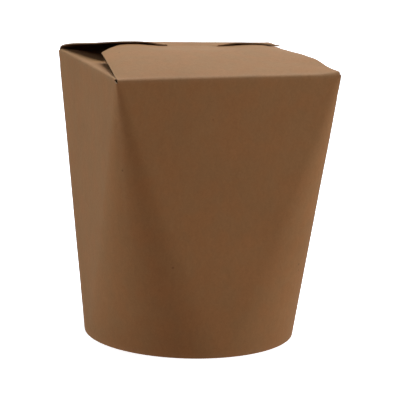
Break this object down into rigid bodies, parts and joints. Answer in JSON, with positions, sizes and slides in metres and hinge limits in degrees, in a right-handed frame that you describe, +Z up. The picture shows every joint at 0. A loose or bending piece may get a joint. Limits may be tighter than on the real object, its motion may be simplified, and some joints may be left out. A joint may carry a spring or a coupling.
{
  "type": "noodle takeaway carton",
  "caption": "Shut takeaway carton of plain kraft board with a round base, a rectangular top and interlocking folded flaps.",
  "frame": {"origin": "centre of the round base, on the surface that the carton stands on", "axes": "+Z up through the lid, -Y out of the front panel, +X to the right as seen from the front"},
  "size_m": [0.09, 0.0849, 0.1175],
  "materials": {
    "kraft_board": "matte, with a faint calendered sheen",
    "base_board": "matte"
  },
  "bodies": {
    "root": {"carton": "kraft_board", "base_disc": "base_board"}
  },
  "joints": []
}
